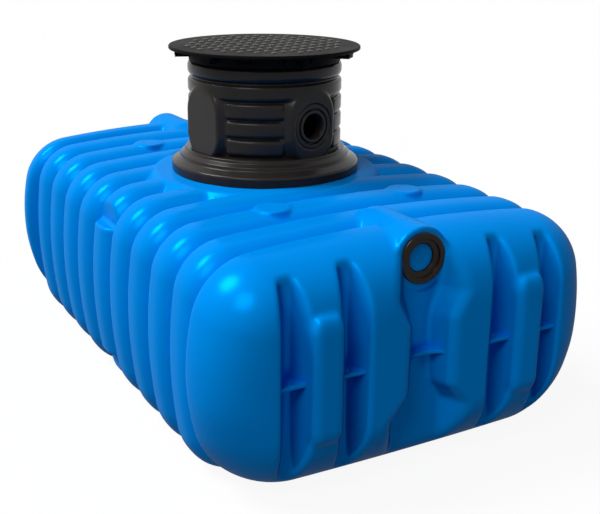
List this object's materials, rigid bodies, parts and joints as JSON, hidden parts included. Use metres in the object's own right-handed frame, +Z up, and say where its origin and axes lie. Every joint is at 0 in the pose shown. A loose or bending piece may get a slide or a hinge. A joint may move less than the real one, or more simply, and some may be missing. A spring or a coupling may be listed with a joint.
{
  "type": "underground rainwater tank",
  "caption": "Flat ribbed plastic tank for burying, with pipe inlets in both ends and an access shaft under a round lift-off cover",
  "frame": {"origin": "middle of the tank's underside, on the level floor", "axes": "+Y along the tank, +Z up, the shown end faces -Y"},
  "size_m": [1.35, 2.1154, 1.16],
  "materials": {
    "tank_plastic": "gloss",
    "seal_rubber": "satin",
    "shaft_plastic": "satin",
    "cover_plastic": "matte"
  },
  "bodies": {
    "root": {"front_end": "tank_plastic", "rear_end": "tank_plastic", "floor": "tank_plastic", "neck": "tank_plastic", "roof_front": "tank_plastic", "roof_rear": "tank_plastic", "left_wall": "tank_plastic", "left_lower_shoulder": "tank_plastic", "left_upper_shoulder": "tank_plastic", "roof_front_left": "tank_plastic", "roof_rear_left": "tank_plastic", "right_wall": "tank_plastic", "right_lower_shoulder": "tank_plastic", "right_upper_shoulder": "tank_plastic", "roof_front_right": "tank_plastic", "roof_rear_right": "tank_plastic", "front_webs": "tank_plastic", "rear_webs": "tank_plastic", "front_inlet_seal": "seal_rubber", "rear_inlet_seal": "seal_rubber", "shaft_flange": "shaft_plastic", "shaft_top_ring": "shaft_plastic", "shaft_port_seal": "shaft_plastic", "shaft_port_panel": "shaft_plastic", "shaft_right_panel": "shaft_plastic", "shaft_rear_panel": "shaft_plastic", "shaft_left_panel": "shaft_plastic", "shaft_front_right_wall": "shaft_plastic", "shaft_rear_right_wall": "shaft_plastic", "shaft_rear_left_wall": "shaft_plastic", "shaft_front_left_wall": "shaft_plastic", "cover": "cover_plastic", "cover_collar": "cover_plastic", "cover_lugs": "cover_plastic", "cover_gussets": "cover_plastic"}
  },
  "joints": []
}
